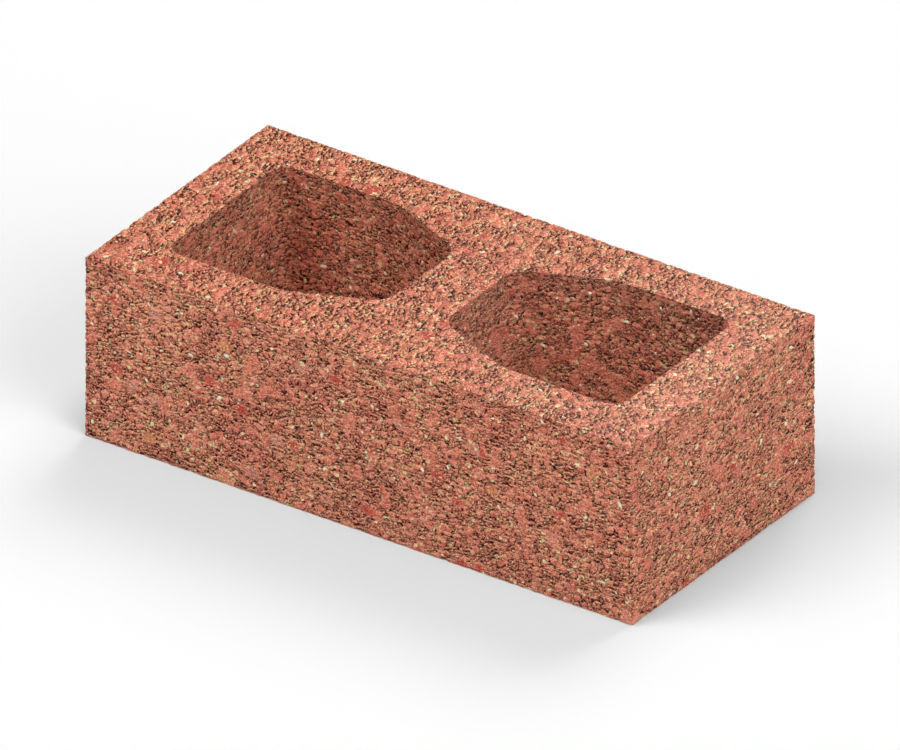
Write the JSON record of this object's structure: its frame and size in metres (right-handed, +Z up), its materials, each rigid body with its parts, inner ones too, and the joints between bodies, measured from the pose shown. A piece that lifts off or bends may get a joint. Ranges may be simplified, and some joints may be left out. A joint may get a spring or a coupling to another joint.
{
  "type": "hollow clay brick",
  "caption": "Rectangular hollow clay brick with flared, round-cornered through cores beside a middle web, laid in mortar and grouted round upright bars.",
  "frame": {"origin": "middle of the lower bed face, on the surface that the brick lies on", "axes": "+X along the brick's length, +Y through the wall, +Z up along the cores"},
  "size_m": [0.29, 0.14, 0.09],
  "materials": {
    "fired_clay": "coarse, unglazed, granular fired clay with sand and grog"
  },
  "bodies": {
    "root": {"brick": "fired_clay"}
  },
  "joints": []
}
